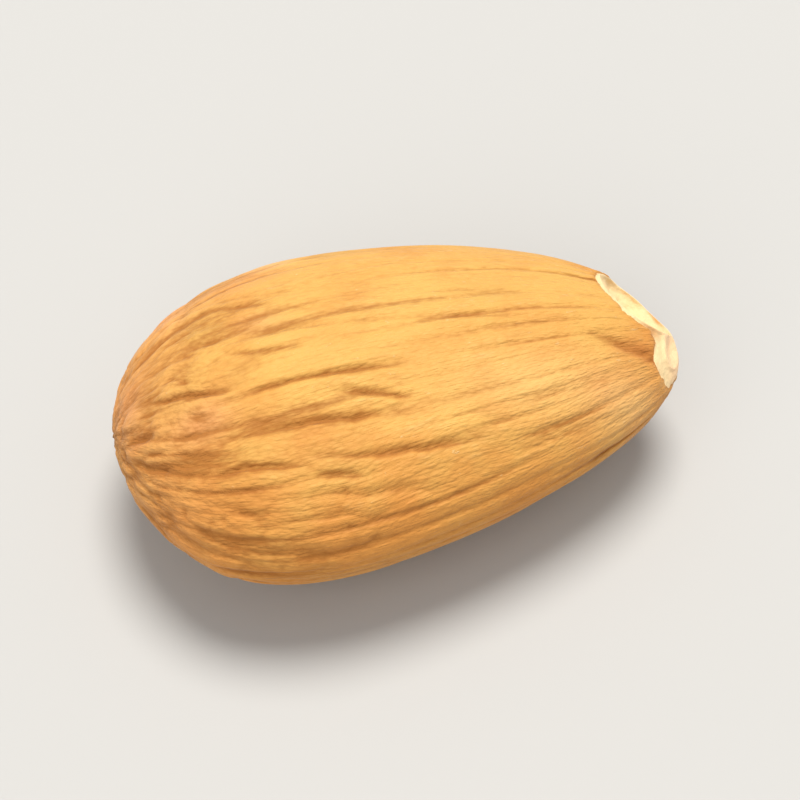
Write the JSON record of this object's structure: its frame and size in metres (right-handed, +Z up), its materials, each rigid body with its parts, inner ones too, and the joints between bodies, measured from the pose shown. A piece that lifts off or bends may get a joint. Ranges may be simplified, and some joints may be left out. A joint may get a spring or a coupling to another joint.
{
  "type": "almond",
  "caption": "Whole shelled almond kernel in its wrinkled brown skin, teardrop outline and lens section, chipped at the tip.",
  "frame": {"origin": "on the surface that the kernel rests on, below the middle of its bounding box", "axes": "+X along the kernel from its blunt end to its tip, +Y across its width towards the chipped side, +Z up through its thickness"},
  "size_m": [0.024, 0.0156, 0.009],
  "materials": {
    "almond_skin": "dry matt golden-brown skin with lengthwise wrinkles, redder in the furrows, cream where the tip is chipped"
  },
  "bodies": {
    "root": {"almond_kernel": "almond_skin"}
  },
  "joints": []
}
